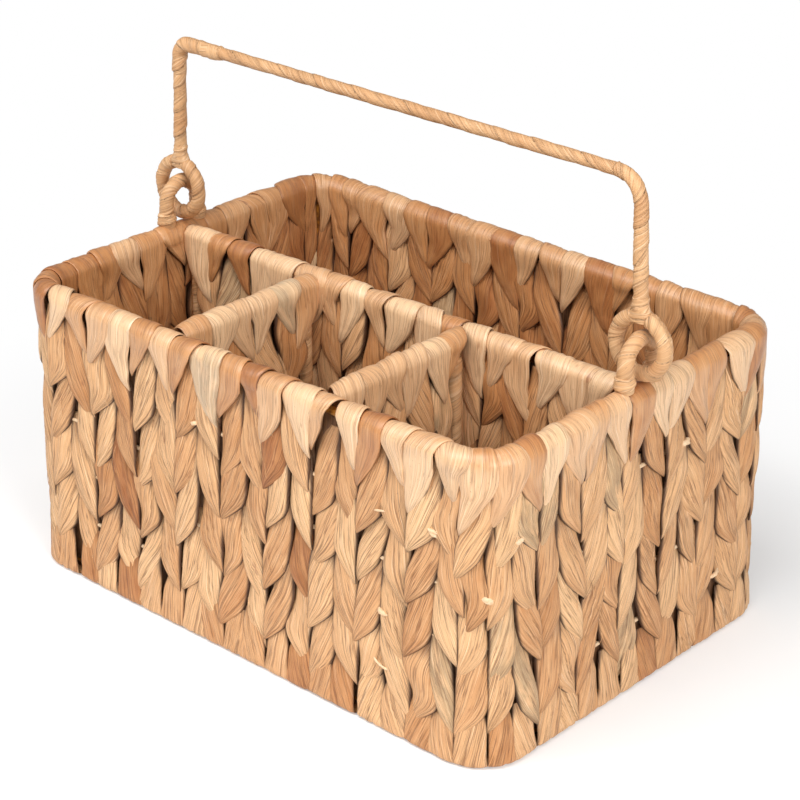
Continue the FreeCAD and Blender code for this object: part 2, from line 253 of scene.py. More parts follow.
class StageSettings(bpy.types.PropertyGroup):
    """Floor, sky and camera. The shadow's places are counted from the floor's middle."""

    backdrop: FloatVectorProperty(
        name="Backdrop", description="Floor", size=3, subtype="COLOR", default=(0.95, 0.95, 0.95))
    shadow_start: length_setting("Shadow start", "Where the shadow starts to fade", 0.20)
    shadow_end: length_setting("Shadow end", "Where the shadow is gone", 0.38)
    shadow_white: share_setting("Shadow white", "White mixed into the shadow", 0.30)
    sky_strength: FloatProperty(
        name="Sky strength", description="Light from all round", default=0.26, min=0.0)
    lens: FloatProperty(name="Lens", description="Focal length in millimetres", default=108.33, min=1.0)
    azimuth: FloatProperty(
        name="Azimuth", description="Camera's turn from the front towards the right end",
        default=math.radians(42.41), subtype="ANGLE")
    elevation: FloatProperty(
        name="Elevation", description="Camera's height over the level", default=math.radians(25.42),
        subtype="ANGLE")
    camera_place: FloatVectorProperty(
        name="Camera place", description="Where the camera stands", size=3, subtype="TRANSLATION",
        unit="LENGTH", default=(0.69485, -0.75564, 0.58342))


def strand_settings():
    """Settings of the strand."""
    return bpy.context.scene.caddy_strand


def bail_settings():
    """Settings of the bail."""
    return bpy.context.scene.caddy_bail


def colour_settings():
    """Settings of the colours."""
    return bpy.context.scene.caddy_colour


def stage_settings():
    """Settings of the stage."""
    return bpy.context.scene.caddy_stage


# Shader maths
class Value:
    """A number on a shader graph that can be used in arithmetic."""

    def __init__(self, graph, socket):
        self.graph = graph
        self.socket = socket

    def _math(self, operation, first, second):
        return self.graph.node("ShaderNodeMath", {"operation": operation}, {0: first, 1: second})

    def __add__(self, other):
        return self._math("ADD", self, other)

    def __radd__(self, other):
        return self._math("ADD", other, self)

    def __sub__(self, other):
        return self._math("SUBTRACT", self, other)

    def __rsub__(self, other):
        return self._math("SUBTRACT", other, self)

    def __mul__(self, other):
        return self._math("MULTIPLY", self, other)

    def __rmul__(self, other):
        return self._math("MULTIPLY", other, self)

    def __abs__(self):
        return self._math("ABSOLUTE", self, 0.0)


class Graph:
    """A material's node tree."""

    def __init__(self, name):
        self.material = bpy.data.materials.new(name)
        self.material.use_nodes = True
        self.tree = self.material.node_tree
        self.tree.nodes.clear()

    def node(self, kind, settings=None, inputs=None, output=0):
        """Adds a node, sets it up, fills or links its sockets and returns one output."""
        node = self.tree.nodes.new(kind)
        for name, value in (settings or {}).items():
            if name == "stops":
                stops = node.color_ramp.elements
                while len(stops) < len(value):
                    stops.new(1.0)
                for stop, (place, colour) in zip(stops, value):
                    stop.position = place
                    stop.color = (*colour, 1.0)
            else:
                setattr(node, name, value)
        for key, value in (inputs or {}).items():
            if isinstance(value, Value):
                self.tree.links.new(value.socket, node.inputs[key])
            else:
                node.inputs[key].default_value = value
        return Value(self, node.outputs[output])

    def attribute(self, name, output="Fac"):
        """A value that the mesh holds at its points."""
        return self.node("ShaderNodeAttribute", {"attribute_name": name}, output=output)

    def mix(self, factor, first, second):
        """Blend of two colours."""
        return self.node("ShaderNodeMix", {"data_type": "RGBA"}, {0: factor, 6: first, 7: second}, 2)

    def step(self, value, low, high):
        """Smooth rise from 0 at low to 1 at high."""
        return self.node(
            "ShaderNodeMapRange", {"interpolation_type": "SMOOTHSTEP"},
            {"Value": value, "From Min": low, "From Max": high})

    def noise(self, x, y, z, detail, roughness):
        """Noise at a place worked out on the surface."""
        place = self.node("ShaderNodeCombineXYZ", inputs={0: x, 1: y, 2: z})
        return self.node("ShaderNodeTexNoise", inputs={
            "Vector": place, "Scale": 1.0, "Detail": detail, "Roughness": roughness})

    def output(self, shader):
        """Ends the tree with a shader and returns its material."""
        end = self.tree.nodes.new("ShaderNodeOutputMaterial")
        self.tree.links.new(shader.socket, end.inputs["Surface"])
        return self.material


def opaque(colour):
    """A colour with full alpha, as a colour socket takes it."""
    return (*colour, 1.0)


def strand_material(name, rough, lines, satin=0.0, grey=0.0, bleach=0.0):
    """Dried strand: leaf by leaf tones, fibres along the leaf (the pale ones also a painted highlight), blotches,
    specks and painted shade at tucked edges.
    """
    colours = colour_settings()
    graph = Graph(name)
    grain = graph.attribute("grain", "Vector")
    along, across, leaf = (
        graph.node("ShaderNodeSeparateXYZ", inputs={0: grain}, output=axis) for axis in ("X", "Y", "Z"))
    tone = graph.attribute("tone")
    tuck = graph.attribute("tuck")

    fine = graph.noise(along * 0.04, across * 2.4, leaf * 5.3, 3.0, 0.6)
    broad = graph.noise(along * 0.02, across * 0.8, leaf * 3.1, 2.0, 0.5)
    cloud = graph.noise(along * 0.07, across * 0.16, leaf * 7.7, 2.0, 0.55)
    blotch = graph.step(graph.noise(along * 0.10, across * 0.25, leaf * 2.3, 2.0, 0.6), 0.66, 0.80)
    specks = graph.step(graph.noise(along * 0.7, across * 2.2, leaf * 1.7, 1.0, 0.5), 0.68, 0.78)
    seams = 1 - graph.step(abs(broad - 0.5), 0.0, 0.035)
    threads = 1 - graph.step(abs(fine - 0.5), 0.0, 0.06)

    base = graph.node("ShaderNodeValToRGB", {"stops": (
        (0.0, colours.brown), (0.17, colours.rose), (0.38, colours.tan), (0.74, colours.straw),
        (0.90, colours.straw), (1.0, colours.olive))}, {0: tone + (cloud - 0.5) * 0.42})
    base = graph.mix(grey, base, opaque(colours.olive))
    # Pale fibres: partly the strand's own colour and partly painted highlight, stronger on lighter leaves
    pale_fibre_and_highlight = graph.step(fine, 0.53, 0.72) * (graph.step(tone, 0.05, 0.5) * 0.32 + 0.10)
    # Painted highlight: lighter strands of the lapped rim are paled further, as a sheen on their crests
    pale_fibre_and_highlight = pale_fibre_and_highlight + graph.step(tone, 0.25, 0.6) * bleach
    base = graph.mix(pale_fibre_and_highlight, base, opaque(colours.pale_fibre_and_sheen))
    base = graph.mix(graph.step(fine, 0.48, 0.28) * 0.30, base, opaque(colours.brown))
    base = graph.mix(threads * (0.30 * lines), base, opaque(colours.fibre))
    base = graph.mix(seams * (0.62 * lines), base, opaque(colours.fibre))
    base = graph.mix(blotch * 0.5, base, opaque(colours.rust))
    base = graph.mix(specks * 0.35, base, opaque(colours.fibre))
    # Painted shade where strands tuck under one another and along their edges
    base = graph.mix(graph.step(tuck, 0.2, 1.0) * 0.9, base, opaque(colours.painted_crevice_shade))

    relief = broad * 0.5 + fine * 0.25 - seams * (0.4 * lines)
    bump = graph.node("ShaderNodeBump", inputs={"Strength": 0.7, "Distance": 0.9 * MM, "Height": relief})
    shader = graph.node("ShaderNodeBsdfPrincipled", inputs={
        "Base Color": base, "Roughness": rough + fine * 0.2, "Normal": bump, "Specular IOR Level": 0.45,
        "Coat Weight": satin, "Coat Roughness": 0.38})
    return graph.output(shader)


def wire_material(name):
    """Iron wire under amber lacquer, worn unevenly."""
    colours = colour_settings()
    graph = Graph(name)
    place = graph.node("ShaderNodeTexCoord", output="Object")
    wear = graph.node("ShaderNodeTexNoise", inputs={"Vector": place, "Scale": 220.0, "Detail": 3.0})
    base = graph.mix(graph.step(wear, 0.4, 0.65), opaque(colours.worn_lacquer), opaque(colours.lacquer))
    shader = graph.node("ShaderNodeBsdfPrincipled", inputs={
        "Base Color": base, "Roughness": 0.3 + wear * 0.3, "Metallic": 0.25, "Coat Weight": 0.3})
    return graph.output(shader)


def cord_material(name):
    """Pale twisted plant cord."""
    colours = colour_settings()
    graph = Graph(name)
    place = graph.node("ShaderNodeTexCoord", output="Object")
    ply = graph.node("ShaderNodeTexNoise", inputs={"Vector": place, "Scale": 900.0, "Detail": 2.0})
    base = graph.mix(ply, opaque(colours.tan), opaque(colours.cord))
    bump = graph.node("ShaderNodeBump", inputs={"Strength": 0.5, "Distance": 0.4 * MM, "Height": ply})
    shader = graph.node("ShaderNodeBsdfPrincipled", inputs={
        "Base Color": base, "Roughness": 0.8, "Normal": bump})
    return graph.output(shader)


FINISHES = {
    "twined_strand": (strand_material, {"rough": 0.44, "lines": 1.0}),
    # The lapped strand's extra paling is a painted sheen on the rim's crests
    "lapped_strand": (strand_material, {"rough": 0.34, "lines": 0.6, "satin": 0.55, "bleach": 0.20}),
    "wound_strip": (strand_material, {"rough": 0.42, "lines": 0.6, "grey": 0.28}),
    "lacquered_wire": (wire_material, {}),
    "plant_cord": (cord_material, {}),
}
MATERIALS = {}


def material(name):
    """A finish of this object, made once."""
    if name not in MATERIALS:
        maker, finish = FINISHES[name]
        MATERIALS[name] = maker(name, **finish)
    return MATERIALS[name]


# Random draws
def generator(key):
    """Random draws of one strand, the same on each run."""
    return np.random.default_rng([strand_settings().seed, *key.encode()])


def vary(rng, sigma, most):
    """A draw about nought, held within a limit and scaled by the unevenness."""
    return np.clip(rng.normal(0, sigma), -most, most) * strand_settings().unevenness


def stray(key, sigma, most):
    """How far a seam strays from its line, drawn once for both of its sides."""
    return vary(generator(key + "stray"), sigma, most) * MM


def upper_hand(key, left):
    """Whether the strand on one side of a seam laps over its partner (1) or under it (-1)."""
    return 1 if (generator(key).random() < 0.5) == left else -1


def leaf_tone(rng, middle_tone, odd_share=0.035):
    """Tone of one leaf: mostly tan to straw, now and then brown or olive."""
    draw = rng.random()
    if draw < odd_share:
        return rng.uniform(0.05, 0.2)
    if draw > 1 - odd_share:
        return rng.uniform(0.93, 1.0)
    return float(np.clip(rng.normal(middle_tone, 0.15), 0.06, 0.88))


# Mesh building
def unit(vectors):
    """Vectors scaled to length one."""
    return vectors / np.linalg.norm(vectors, axis=-1, keepdims=True)


def smoothstep(value):
    """Smooth rise from 0 at 0 to 1 at 1."""
    value = np.clip(value, 0.0, 1.0)
    return value * value * (3 - 2 * value)


def course(share, values):
    """Smooth course, at shares of a leaf's length, of values given at the leaf's own shares."""
    dense = np.linspace(0.0, 1.0, 201)
    window = np.hanning(13)[1:-1]
    values = np.pad(np.interp(dense, LEAF_SHARES, values), len(window) // 2, mode="edge")
    return np.interp(share, dense, np.convolve(values, window / window.sum(), "valid"))


def rounded(points, count):
    """Even points on a smooth line through control points, and how far along it each lies."""
    points = np.asarray(points, float)
    ends = np.vstack((2 * points[0] - points[1], points, 2 * points[-1] - points[-2]))
    t = np.linspace(0, 1, 24, endpoint=False)[:, None]
    dense = []
    for a, b, c, d in zip(ends, ends[1:], ends[2:], ends[3:]):
        dense.append(0.5 * (2 * b + (c - a) * t + (2 * a - 5 * b + 4 * c - d) * t ** 2
                            + (3 * b - a - 3 * c + d) * t ** 3))
    dense = np.vstack(dense + [points[-1:]])
    length = np.concatenate(([0.0], np.cumsum(np.linalg.norm(np.diff(dense, axis=0), axis=1))))
    even = np.linspace(0, length[-1], count)
    return np.stack([np.interp(even, length, dense[:, i]) for i in range(dense.shape[1])], -1), even


def spokes(first, second, angle):
    """Directions round a line, from two directions across it at each of its points."""
    return first[:, None] * np.cos(angle)[:, None] + second[:, None] * np.sin(angle)[:, None]


class Piece:
    """Collects strands into one mesh with its grain, tone and painted shade."""

    def __init__(self):
        self.points, self.faces, self.grain, self.tone, self.tuck = [], [], [], [], []
        self.count = 0

    def add(self, rings, along, across, leaf, tone, tuck):
        """A closed strand from rings of points; attributes are for all of it, per ring or per point."""
        rows, around = shape = rings.shape[:2]
        index = self.count + np.arange(rows * around).reshape(shape)
        nearer, further = index[:-1], index[1:]
        walls = np.stack((nearer, np.roll(nearer, -1, 1), np.roll(further, -1, 1), further), -1)
        faces = [walls.reshape(-1, 4)]
        k = np.arange(around // 2 - 1)
        for ring, order in ((index[0], 1), (index[-1], -1)):
            cap = np.stack((ring[k], ring[-1 - k], ring[-2 - k], ring[k + 1]), -1)
            faces.append(cap[:, ::order])
        faces = np.concatenate(faces)
        a, b, c, d = np.moveaxis((rings.reshape(-1, 3) - rings[0, 0])[faces - self.count], 1, 0)
        volume = np.sum(a * (np.cross(b, c) + np.cross(c, d)))
        self.faces.append(faces if volume > 0 else faces[:, ::-1])
        full = []
        for values in (along, across, leaf, tone, tuck):
            full.append(np.broadcast_to(values[:, None] if np.ndim(values) == 1 else values, shape))
        self.points.append(rings.reshape(-1, 3))
        self.grain.append(np.stack(full[:3], -1).reshape(-1, 3))
        self.tone.append(full[3].ravel())
        self.tuck.append(full[4].ravel())
        self.count += rows * around

    def finish(self, name, finish, slot, body, *nodes):
        """Makes the object, sets its finish, and lets it ride in place of frame nodes."""
        points = np.concatenate(self.points)
        faces = np.concatenate(self.faces)
        mesh = bpy.data.meshes.new(name)
        mesh.vertices.add(len(points))
        mesh.vertices.foreach_set("co", points.ravel())
        mesh.loops.add(faces.size)
        mesh.loops.foreach_set("vertex_index", faces.ravel())
        mesh.polygons.add(len(faces))
        mesh.polygons.foreach_set("loop_start", np.arange(0, faces.size, 4))
        mesh.polygons.foreach_set("use_smooth", np.ones(len(faces), bool))
        mesh.update(calc_edges=True)
        grain = mesh.attributes.new("grain", "FLOAT_VECTOR", "POINT")
        grain.data.foreach_set("vector", np.concatenate(self.grain).ravel())
        for key, values in (("tone", self.tone), ("tuck", self.tuck)):
            mesh.attributes.new(key, "FLOAT", "POINT").data.foreach_set("value", np.concatenate(values))
        mesh.materials.append(material(finish))
        piece = bpy.data.objects.new(name, mesh)
        bpy.context.scene.collection.objects.link(piece)
        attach(piece, body)
        if nodes:
            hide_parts(*nodes)


# Panels and their columns
def wall_lengths():
    """Lengths of the outer face's straights and corners, from the front's left end on round."""
    quarter = (CORNER_RADIUS + WALL_HALF) * TAU / 4
    return np.array([2 * CORNER_X, quarter, 2 * CORNER_Y, quarter] * 2)


def round_wall(s, out, up):
    """Places on the walls: along the outer face from the front's left end, out from the middle, and up."""
    lengths = wall_lengths()
    starts = np.concatenate(([0.0], np.cumsum(lengths)))
    s = np.mod(s, starts[-1])
    part = np.searchsorted(starts[1:-1], s, side="right")
    local = s - starts[part]
    side = part // 2
    straight = part % 2 == 0
    normal = (side - 1) * TAU / 4 + np.where(straight, 0.0, local / (CORNER_RADIUS + WALL_HALF))
    back = np.where(straight, lengths[part] - local, 0.0)
    radius = CORNER_RADIUS + out
    x = np.array([1, 1, -1, -1])[side] * CORNER_X + radius * np.cos(normal) + back * np.sin(normal)
    y = np.array([-1, 1, 1, -1])[side] * CORNER_Y + radius * np.sin(normal) - back * np.cos(normal)
    return np.stack((x, y, up), -1)


def flat_panel(origin, along, outward):
    """Places on an upright straight panel."""
    origin, along, outward = (np.array(v, float) for v in (origin, along, outward))

    def place(s, out, up):
        base = origin + s[..., None] * along + out[..., None] * outward
        return base + up[..., None] * np.array((0.0, 0.0, 1.0))
    return place


def laid_panel(height):
    """Places on the floor panel: columns run front to back."""
    return lambda s, out, up: np.stack((s, up, out + height), -1)


# A column's panel places, its own place along the panel, its width, the way it leans, and its half thickness
Column = namedtuple("Column", "place at pitch lean half")


def on_panel(column, rings):
    """Rings of a strand, drawn about its column's middle, at their places on the panel."""
    return column.place(column.at + rings[..., 0], rings[..., 1], rings[..., 2])


def wall_columns():
    """Each column of the walls with its wall part: paired columns on the sides, a single one on a corner."""
    look = strand_settings()
    lengths = wall_lengths()
    ends = np.cumsum(lengths)
    total = float(np.sum(lengths))
    pitch = total / (2 * look.columns_long + 2 * look.columns_short + 4)
    first = lengths[0] / 2 - look.columns_long / 2 * pitch + FRONT_SHIFT
    columns = []
    for count in (look.columns_long, look.columns_short) * 2:
        for i in range(count + 1):
            lean = 1 if i % 2 or i == count else -1
            at = (first + (len(columns) + 0.5) * pitch) % total
            part = int(np.searchsorted(ends[:-1], at))
            columns.append((Column(round_wall, at, pitch, lean, WALL_HALF), part))
    return columns


def panel_columns(place, low, high, half):
    """Paired columns of a straight panel between its two ends."""
    count = 2 * round((high - low) / strand_settings().pair_width)
    pitch = (high - low) / count
    return [Column(place, low + (i + 0.5) * pitch, pitch, 1 if i % 2 else -1, half) for i in range(count)]


def part_name(part):
    """Name of a wall part: a side or a corner."""
    return SIDES[part // 2] if part % 2 == 0 else CORNERS[part // 2] + "_corner"


def part_node(part, kind):
    """Frame node of a wall part: its weave or its rim lap."""
    if part % 2 == 0:
        return f"{SIDES[part // 2]}_{kind}"
    return f"corner_{kind}_{CORNERS[part // 2]}"


def dividers():
    """Name, panel places, ends of the panel and of its lap, and half thickness of each divider."""
    rows = []
    for name in DIVIDERS:
        centre = middle(f"{name}_weave")
        if name == "long_divider":
            along, across = 0, 1
            place = flat_panel((0, centre.y, 0), (1, 0, 0), (0, -1, 0))
        else:
            along, across = 1, 0
            place = flat_panel((centre.x, 0, 0), (0, 1, 0), (1, 0, 0))
        ends = [corner[along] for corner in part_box(f"{name}_weave")]
        lap_ends = [corner[along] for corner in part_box(f"{name}_lap")]
        rows.append((name, place, ends, lap_ends, span(f"{name}_weave")[across] / 2))
    return rows


# Strands
def section(centre, normal, half_width, swell, belly, roll, folds, sides=LEAF_SIDES):
    """Rings of a pillowed strand about its centre line, and the share across at each point.

    A ring spreads along the panel and lifts along the normal. swell and belly are the heights above and
    below the line. Each fold is a share across, a width, and a depth per ring.
    """
    upper, lower = sides
    angle = np.concatenate((np.linspace(0, math.pi, upper, endpoint=False),
                            np.linspace(math.pi, TAU, lower, endpoint=False)))
    wide = np.cos(angle)
    high = np.sin(angle)
    lift = np.where(high > 0, swell[:, None] * np.abs(high) ** 0.8, belly[:, None] * high)
    for place, spread, depth in folds:
        dip = np.exp(-(((wide - np.reshape(place, (-1, 1))) / spread) ** 2))
        lift = lift - depth[:, None] * dip * (high > 0) * np.abs(high) ** 0.5
    lift = lift + roll[:, None] * half_width[:, None] * wide
    rings = centre[:, None] + lift[..., None] * normal[:, None]
    rings[..., 0] += half_width[:, None] * wide
    return rings, np.broadcast_to(wide, lift.shape)


def creases(rng, share, uneven, drift=0.0):
    """Lengthwise folds of one leaf, drifting across it; now and then it is a bundle of narrow plies."""
    fade = np.sin(math.pi * np.clip(share, 0, 1)) ** 0.5
    if rng.random() < 0.28:
        plies = int(rng.integers(3, 6))
        places = (np.arange(1, plies) / plies * 2 - 1) * 0.9 + rng.normal(0, 0.06, plies - 1)
        return [(place + drift, 0.09, rng.uniform(0.6, 1.1) * MM * uneven * fade) for place in places]
    folds = []
    for _ in range(rng.integers(2, 5)):
        depth = rng.uniform(0.2, 0.5) * MM * uneven
        folds.append((rng.uniform(-0.75, 0.75) + drift, rng.uniform(0.06, 0.12), depth * fade))
    return folds


def leaf(piece, rng, column, face, tip, limit, valley, ridge, tone, fine=True):
    """One pillowed leaf of a twined column, from its tip in the valley up and over to its end at the ridge.

    valley and ridge each say how far that seam strays here, and whether this leaf laps over the one across
    the seam (1) or under it (-1).
    """
    look = strand_settings()
    pitch = column.pitch
    lean = column.lean * face
    (valley_aside, crossing), (ridge_aside, lapping) = valley, ridge
    length = look.leaf_length * (1 + rng.normal(0, 0.05) * look.unevenness)
    tip = tip + vary(rng, 2.4, 4.5) * MM
    shift = vary(rng, 0.4, 0.8) * MM
    sunk = abs(vary(rng, 0.45, 1.2)) * MM
    swell = look.leaf_swell * (1 + vary(rng, 0.12, 0.25))
    girth = 0.5 * pitch * (1.08 + vary(rng, 0.09, 0.14))

    steps, sides = (LEAF_STEPS, LEAF_SIDES) if fine else (FLOOR_LEAF_STEPS, FLOOR_LEAF_SIDES)
    share = np.linspace(0, min(1.0, (limit - tip) / length), steps)
    run = share * length
    width, pillow, sink = (
        course(share, values) for values in (LEAF_WIDTH_SHARES, LEAF_SWELL_SHARES, LEAF_SINK_SHARES))
    over = smoothstep((share - 0.24) / 0.40)
    under = 1 - over
    crest = column.half - 0.1 * MM - sunk - sink * swell + min(crossing, 0) * under * 0.6 * MM
    reach = (0.3 + 1.0 * crossing) * MM
    overlap = (1.0 + 1.5 * lapping) * MM
    away = under * (girth * width - 0.5 * pitch - reach) + over * (0.5 * pitch + overlap - girth * width)
    sway = under * valley_aside + over * ridge_aside
    centre = np.stack((lean * away + sway + shift, face * (crest - swell * pillow), tip + run), -1)
    normal = np.broadcast_to((0.0, face, 0.0), centre.shape)

    slant = lean * look.fibre_slant + vary(rng, 0.08, 0.16)
    roll = vary(rng, 0.05, 0.09) + lean * ((0.11 * lapping - 0.02) * over - 0.07 * crossing * under)
    folds = creases(rng, share, look.unevenness, slant * (run - 0.35 * length) / girth)
    rings, across = section(centre, normal, girth * width, swell * pillow, (0.3 + 0.7 * pillow) * MM, roll,
                            folds, sides)
    # Painted shade: darker towards the hidden upper end, at the tip and along the edges, where the leaf tucks
    # under its neighbours
    tuck = 0.45 * smoothstep((share - 0.54) / 0.26) + 0.5 * smoothstep((0.05 - share) / 0.05)
    piece.add(on_panel(column, rings), run / MM, (across * girth - slant * run[:, None]) / MM,
              rng.uniform(0, 90), leaf_tone(rng, tone), tuck[:, None] + 1.25 * np.abs(across) ** 7)


def core(piece, column, start, end, half):
    """Plain strand in the middle of a column, behind its leaves, painted dark as shade where it shows between
    them.
    """
    angle = (np.arange(CORE_SIDES) + 0.5) * TAU / CORE_SIDES
    up = np.linspace(start, end, max(4, int((end - start) / (9 * MM))))
    shape = (len(up), len(angle))
    s = np.broadcast_to(column.at + 0.56 * column.pitch * np.cos(angle), shape)
    out = np.broadcast_to(half * np.sin(angle), shape)
    rings = column.place(s, out, np.broadcast_to(up[:, None], shape))
    # The core is painted dark as shade, where it shows in gaps between leaves
    piece.add(rings, up / MM, np.broadcast_to(6 * np.cos(angle), shape), 3.0, CORE_TONE, 0.8)


def twine(piece, name, number, column, start, end, tones):
    """One twined column: leaves up both faces over a plain core; both sides of a seam stray together."""
    look = strand_settings()
    core(piece, column, start, end, column.half - look.core_depth)
    rows = int((end - look.first_tip) / look.row_pitch)
    for face, tone in zip((1, -1), tones):
        drift = vary(generator(f"{name}{number}{face}"), 3.0, 5) * MM
        left = column.lean * face < 0
        for row in range(rows):
            valley = f"{name}valley{face}_{number + left}_{row}"
            ridge = f"{name}ridge{face}_{number + (not left)}_{row}"
            leaf(piece, generator(f"{name}{number}{face}{row}"), column, face,
                 look.first_tip + drift + row * look.row_pitch, end - RIM_ROOM,
                 (stray(valley, 1.0, 1.8), upper_hand(valley, left)),
                 (stray(ridge, 1.3, 2.2), upper_hand(ridge, left)), tone)


def lap(piece, name, number, column, axis, radius, tones):
    """A strand bent over the rim wire, a leaf tip down each side, over or under its partner."""
    rng = generator(f"{name}{number}")
    look = strand_settings()
    uneven = look.unevenness
    pitch, lean = column.pitch, column.lean
    rows = int((axis - look.first_tip) / look.row_pitch)
    upper = []
    for face in (1, -1):
        left = lean * face < 0
        upper.append(upper_hand(f"{name}valley{face}_{number + left}", left))
    feet = [look.first_tip + rows * look.row_pitch + rng.normal(-3.5 - 2.5 * on_top, 2.6) * MM * uneven
            for on_top in upper]
    lift = rng.uniform(-0.2, 0.2) * MM * uneven

    def flank(side, foot):
        """Up one side of the wall from a tip."""
        return [(0.0, side * (column.half - inward * MM + lift), foot + up * MM) for inward, up in LAP_FLANK]

    reach = radius - 2.1 * MM + lift
    rise = radius - 1.4 * MM + lift
    angles = np.linspace(0.05, math.pi - 0.05, 7)
    turn = [(0.0, reach * math.cos(a), axis + rise * math.sin(a)) for a in angles]
    centre, run = rounded(flank(1, feet[0]) + turn + flank(-1, feet[1])[::-1], LAP_STEPS)
    normal = np.cross(unit(np.gradient(centre, axis=0)), (1.0, 0.0, 0.0))
    share = run / run[-1]
    ends = np.minimum(run, run[-1] - run)
    side = np.where(share < 0.5, 1.0, -1.0)
    on_top = np.where(share < 0.5, *upper)
    hanging = 1 - smoothstep((ends - 12 * MM) / (12 * MM))

    breadth = rng.uniform(1.08, 1.42)
    girth = 0.5 * pitch * (1 + np.clip(rng.normal(0.03, 0.12), -0.14, 0.26) * uneven)
    width = course(np.clip(ends / (1.45 * look.leaf_length), 0, 0.33), LEAF_WIDTH_SHARES)
    width = width * (1 + (breadth - 1) * smoothstep((ends - 15 * MM) / (12 * MM)))
    width = width * (1 + 0.07 * on_top * hanging)
    swell = np.interp(ends / MM, *zip(*LAP_SWELL)) * MM
    skew = vary(rng, 0.20, 0.4)
    centre[:, 1] += side * 0.35 * MM * np.minimum(on_top, 0.3) * hanging
    apart = np.minimum(girth * width - 0.5 * pitch, 0.0) - 0.7 * MM * on_top * hanging
    slope = skew * pitch * centre[:, 1] / radius * smoothstep(ends / (20 * MM))
    centre[:, 0] = lean * side * apart + slope + vary(rng, 0.9, 1.6) * MM
    roll = (0.07 + vary(rng, 0.03, 0.05)) * smoothstep((ends - 10 * MM) / (14 * MM))
    rings, across = section(centre, normal, girth * width, swell, 0.6 * MM + 0.3 * swell, roll,
                            creases(rng, share, 0.55 * uneven))
    # Painted shade along the strand's edges and at its tips
    dark = rng.uniform(0.6, 1.0) * (1 - rng.uniform(0.2, 0.75) * smoothstep((ends - 14 * MM) / (10 * MM)))
    tuck = dark[:, None] * np.abs(across) ** 8 + 0.5 * smoothstep((2 * MM - ends) / (2 * MM))[:, None]
    slant = vary(rng, 0.06, 0.12)
    strand = rng.uniform(0, 90)
    # Past the crest the strand takes the second tone: on the walls, the inner side's dark tone, painted shade
    # inside the caddy
    tone = leaf_tone(rng, tones[0], 0.03) + (tones[1] - tones[0]) * smoothstep((share - 0.4) / 0.2)
    piece.add(on_panel(column, rings), run / MM, (across * girth + slant * run[:, None]) / MM,
              strand, tone, tuck)


def hem(piece, rng, column):
    """A strand drawn down the foot of the wall and under the base loop."""
    face = column.half
    top = rng.uniform(24, 30) * MM
    path = [(0, face - 4.4 * MM, top), (0, face - 2.6 * MM, top * 0.66)]
    path += [(0, face - inward * MM, up * MM) for inward, up in FOOT_BEND]
    path.append((0, -face - 5 * MM, 1.5 * MM))
    centre, run = rounded(path, FOOT_STEPS)
    share = run / run[-1]
    centre[:, 0] += rng.normal(0, 0.8 * MM) + rng.normal(0, 1.5 * MM) * (1 - share)
    normal = np.cross((1.0, 0.0, 0.0), unit(np.gradient(centre, axis=0)))
    girth = column.pitch * rng.uniform(0.49, 0.58)
    slant = column.lean * strand_settings().fibre_slant + vary(rng, 0.10, 0.2)
    outline = np.interp(share, (0, 0.2, 0.5, 0.8, 1), (0.7, 0.95, 1.0, 1.22, 1.22))
    swell = np.interp(share, (0, 0.3, 0.5, 0.62, 1.0), (1.6, 1.7, 1.3, 0.9, 0.8)) * MM
    roll = rng.normal(0, 0.05) * (1 - smoothstep((share - 0.4) / 0.15))
    rings, across = section(centre, normal, girth * outline, swell, np.full(FOOT_STEPS, 0.8 * MM), roll,
                            creases(rng, share, 1.0, slant * (0.5 * run[-1] - run) / girth))
    # Painted shade along the edges and at the upper end, where the strand goes under the leaves
    tuck = 0.8 * np.abs(across) ** 8 + 0.5 * smoothstep((0.25 - share) / 0.25)[:, None]
    piece.add(on_panel(column, rings), run / MM, (across * girth + slant * run[:, None]) / MM,
              rng.uniform(0, 90), leaf_tone(rng, FOOT_TONE), tuck)


def wind(piece, rng, points, plane, radius, stretch, pitch, lip, plies, tone, spread=0.08):
    """A strip wound round a wire along a path in one plane, each turn lapping the last, creased into plies.

    stretch widens the winding within the plane, where it binds two wires together.
    """
    angle = np.arange(WINDING_SIDES) * TAU / WINDING_SIDES
    radius, stretch = (np.broadcast_to(values, len(points))[:, None] for values in (radius, stretch))
    run = np.concatenate(([0.0], np.cumsum(np.linalg.norm(np.diff(points, axis=0), axis=1))))
    side = np.cross(unit(np.gradient(points, axis=0)), plane) * stretch
    wobble = np.interp(run, np.linspace(0, run[-1], 12), rng.normal(0, 0.10, 12))
    turn = (run / pitch + wobble)[:, None] + angle / TAU
    turns = np.floor(turn).astype(int)
    phase = turn - turns
    turns -= turns.min()
    rise = smoothstep(phase / 0.08) * (1 - phase * 0.85)
    swell = (1 + rng.normal(0, 0.025, turns.max() + 1))[turns]
    tones = np.clip(rng.normal(tone, spread, turns.max() + 1), 0, 1)[turns]
    ply = phase * plies + 0.5
    groove = np.clip(1 - np.abs(ply - np.round(ply)) / 0.16, 0, 1) * (phase > 0.12) * (phase < 0.94)
    reach = (radius - lip) * swell + lip * rise - 0.22 * MM * groove
    rings = points[:, None] + reach[..., None] * spokes(side, np.broadcast_to(plane, side.shape), angle)
    # Painted shade at each turn's lapped edge and in the creases between plies
    tuck = np.clip(1 - phase / 0.06, 0, 1) * 0.85 + 0.42 * groove
    piece.add(rings, run / MM, phase * pitch / MM * 0.7, turns * 1.37 + rng.uniform(0, 50), tones, tuck)


def wound_piece(name, key, points, plane, radius, winding, body, *nodes, stretch=1.0):
    """One piece of wound strip, in place of frame nodes if any are named."""
    piece = Piece()
    wind(piece, generator(key), points, plane, radius, stretch, **WINDINGS[winding])
    piece.finish(name, "wound_strip", "wrap", body, *nodes)


